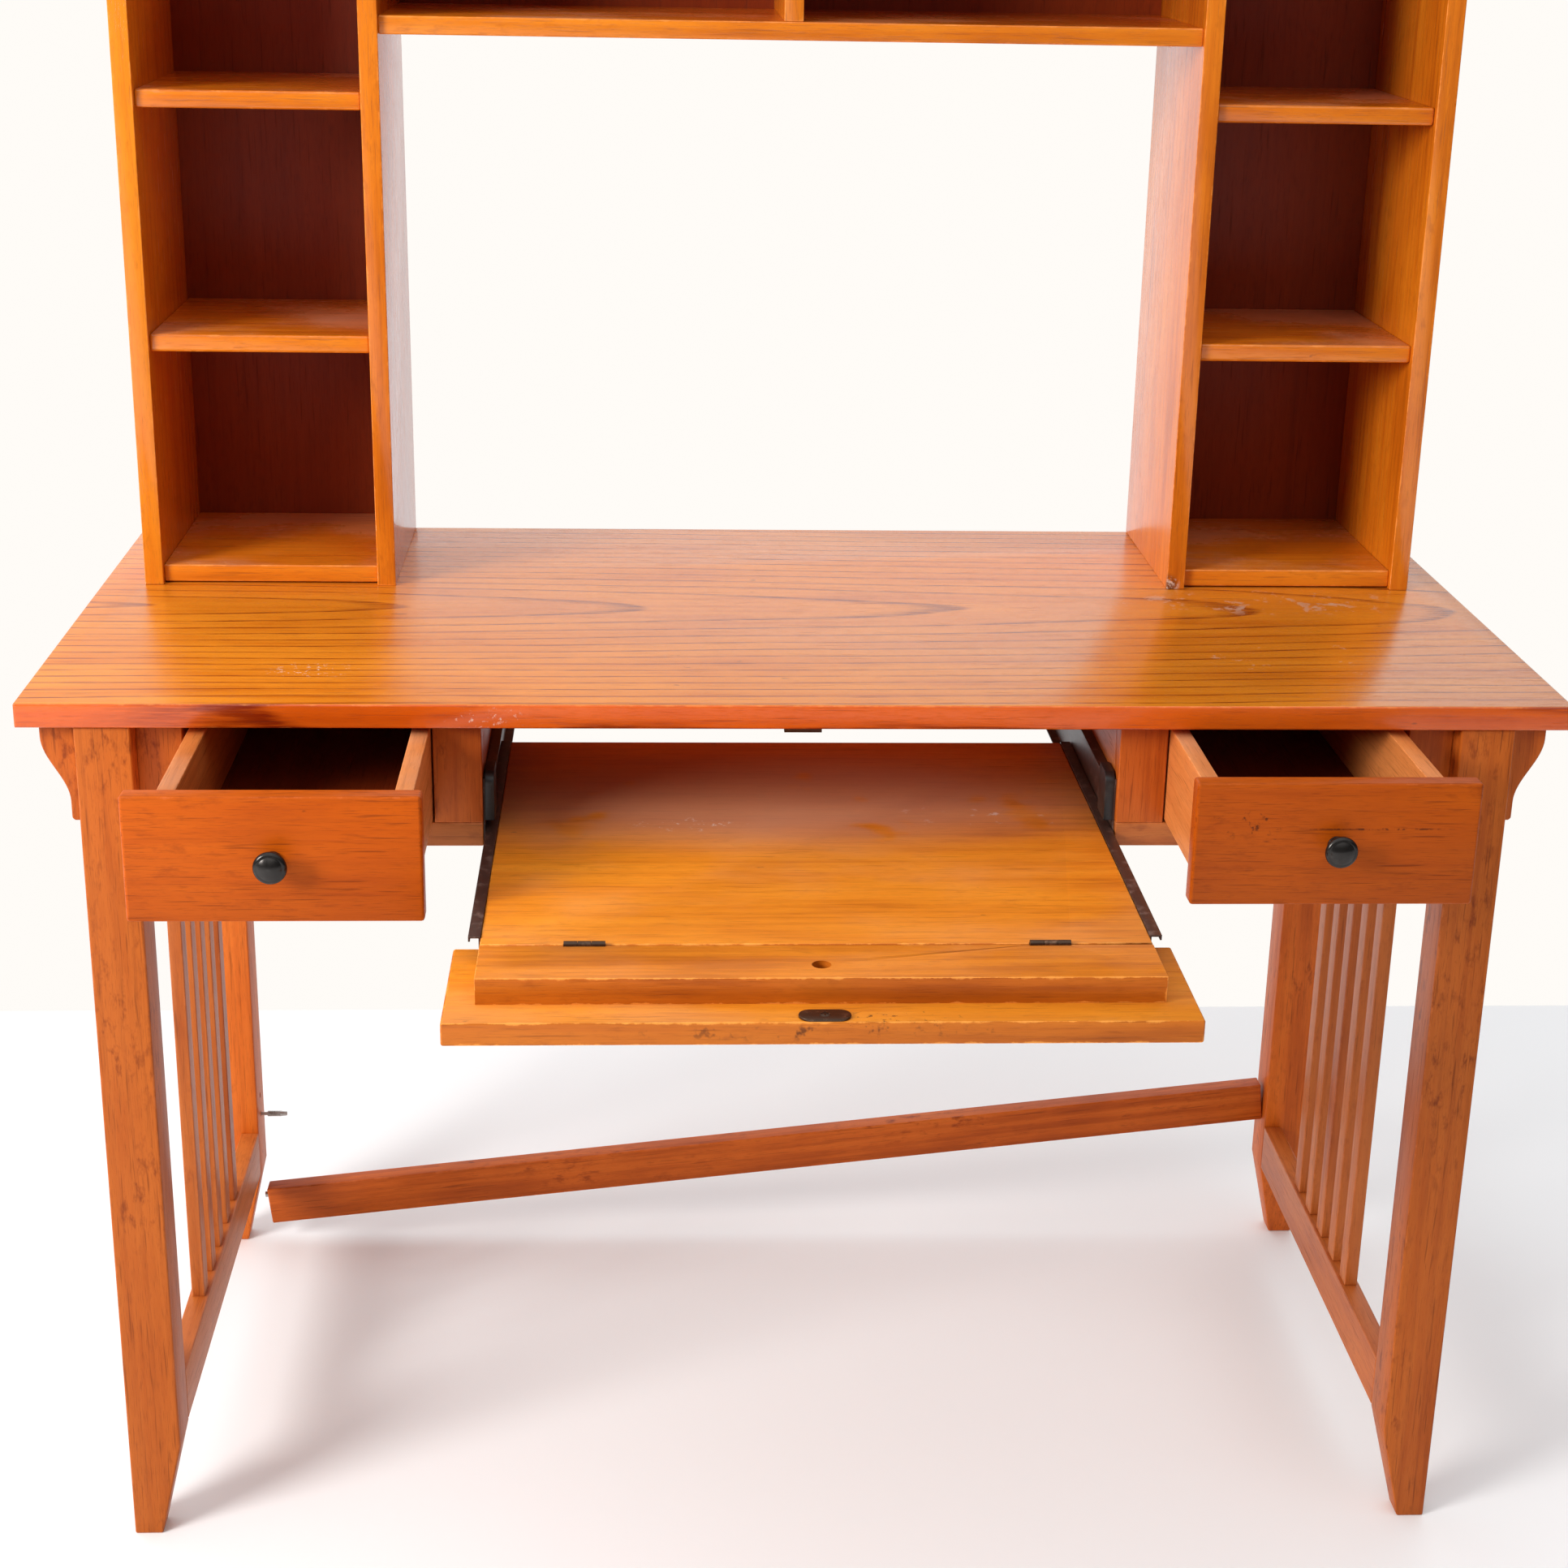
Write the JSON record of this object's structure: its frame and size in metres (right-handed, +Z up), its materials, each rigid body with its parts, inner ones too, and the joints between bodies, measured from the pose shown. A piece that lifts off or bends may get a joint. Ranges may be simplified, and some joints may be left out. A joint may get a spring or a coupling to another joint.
{
  "type": "writing desk with hutch",
  "caption": "Writing desk with slatted sides, open-tower hutch, drawers that slide and a keyboard tray with a drop front.",
  "frame": {"origin": "on the floor, under the middle of the whole part's footprint as stored, with its drawers part open, its tray out and the tray's front folded down", "axes": "+Z up, +X to the right of a person sitting at the desk, +Y from that person towards the hutch and the wall"},
  "size_m": [1.228, 0.8642, 1.405],
  "materials": {
    "oak_desktop": "satin clear coat over orange-brown oak veneer",
    "oak_frame": "satin clear coat over orange-brown stained wood, slightly mottled",
    "oak_rails": "satin clear coat over orange-brown stained wood",
    "oak_hutch": "satin clear coat over orange-brown stained wood, dusty shelves",
    "back_veneer": "thin red-brown veneered board",
    "oak_drawer_front": "satin clear coat over red-brown stained wood",
    "drawer_wood": "thin clear coat over paler wood",
    "oak_tray": "worn satin clear coat over orange-brown stained wood",
    "dark_pewter": "dark pewter, soft gloss",
    "dark_bronze": "dark bronze",
    "brown_steel": "brown baked enamel on folded steel",
    "roller_nylon": "black nylon",
    "bolt_steel": "dark steel"
  },
  "bodies": {
    "desk": {"desktop": "oak_desktop", "leg_front_left": "oak_frame", "leg_front_right": "oak_frame", "leg_back_left": "oak_frame", "leg_back_right": "oak_frame", "side_top_rails": "oak_rails", "side_bottom_rail_left": "oak_rails", "side_bottom_rail_right": "oak_rails", "side_slats_left": "oak_rails", "side_slats_right": "oak_rails", "corbels": "oak_frame", "back_apron": "oak_rails", "drawer_posts": "oak_frame", "drawer_rails": "oak_rails", "divider_panel_left": "oak_rails", "divider_panel_right": "oak_rails", "drawer_runners": "drawer_wood", "magnetic_catch": "brown_steel", "tray_channels": "brown_steel", "slide_stops": "roller_nylon", "channel_rollers": "roller_nylon", "stretcher": "oak_frame", "stretcher_dowel": "bolt_steel", "stretcher_bolts": "bolt_steel", "hutch_outer_side_left": "oak_hutch", "hutch_outer_side_right": "oak_hutch", "hutch_inner_side_left": "oak_hutch", "hutch_inner_side_right": "oak_hutch", "hutch_base_left": "oak_hutch", "hutch_base_right": "oak_hutch", "hutch_lower_shelf_left": "oak_hutch", "hutch_lower_shelf_right": "oak_hutch", "hutch_upper_shelf_left": "oak_hutch", "hutch_upper_shelf_right": "oak_hutch", "hutch_middle_shelf": "oak_hutch", "hutch_middle_divider": "oak_hutch", "hutch_top": "oak_desktop", "hutch_tower_backs": "back_veneer", "hutch_middle_back": "back_veneer", "hutch_screws": "bolt_steel"},
    "drawer_left": {"drawer_left_front": "oak_drawer_front", "drawer_left_sides": "drawer_wood", "drawer_left_back": "drawer_wood", "drawer_left_bottom": "back_veneer", "drawer_left_knob": "dark_pewter"},
    "drawer_right": {"drawer_right_front": "oak_drawer_front", "drawer_right_sides": "drawer_wood", "drawer_right_back": "drawer_wood", "drawer_right_bottom": "back_veneer", "drawer_right_knob": "dark_pewter"},
    "tray": {"tray_board": "oak_tray", "tray_slides": "brown_steel", "slide_rollers": "roller_nylon", "tray_hinge_leaves": "dark_bronze"},
    "flap": {"flap_panel": "oak_tray", "flap_batten": "oak_tray", "flap_hinge_leaves": "dark_bronze", "hinge_pins": "dark_bronze", "strike_plate": "dark_bronze", "flap_knob": "dark_pewter"}
  },
  "joints": [
    {"name": "drawer_left_slide", "type": "slide", "parent": "desk", "child": "drawer_left", "axis": [0, -1, 0], "range_m": [-0.158, 0.162]},
    {"name": "drawer_right_slide", "type": "slide", "parent": "desk", "child": "drawer_right", "axis": [0, -1, 0], "range_m": [-0.128, 0.192]},
    {"name": "tray_slide", "type": "slide", "parent": "desk", "child": "tray", "axis": [0, -1, 0], "range_m": [-0.2505, 0.0595]},
    {"name": "flap_hinge", "type": "hinge", "parent": "tray", "child": "flap", "pos_m": [0, -0.3421, 0.6476], "axis": [-1, 0, 0], "range_deg": [0, 90]}
  ]
}
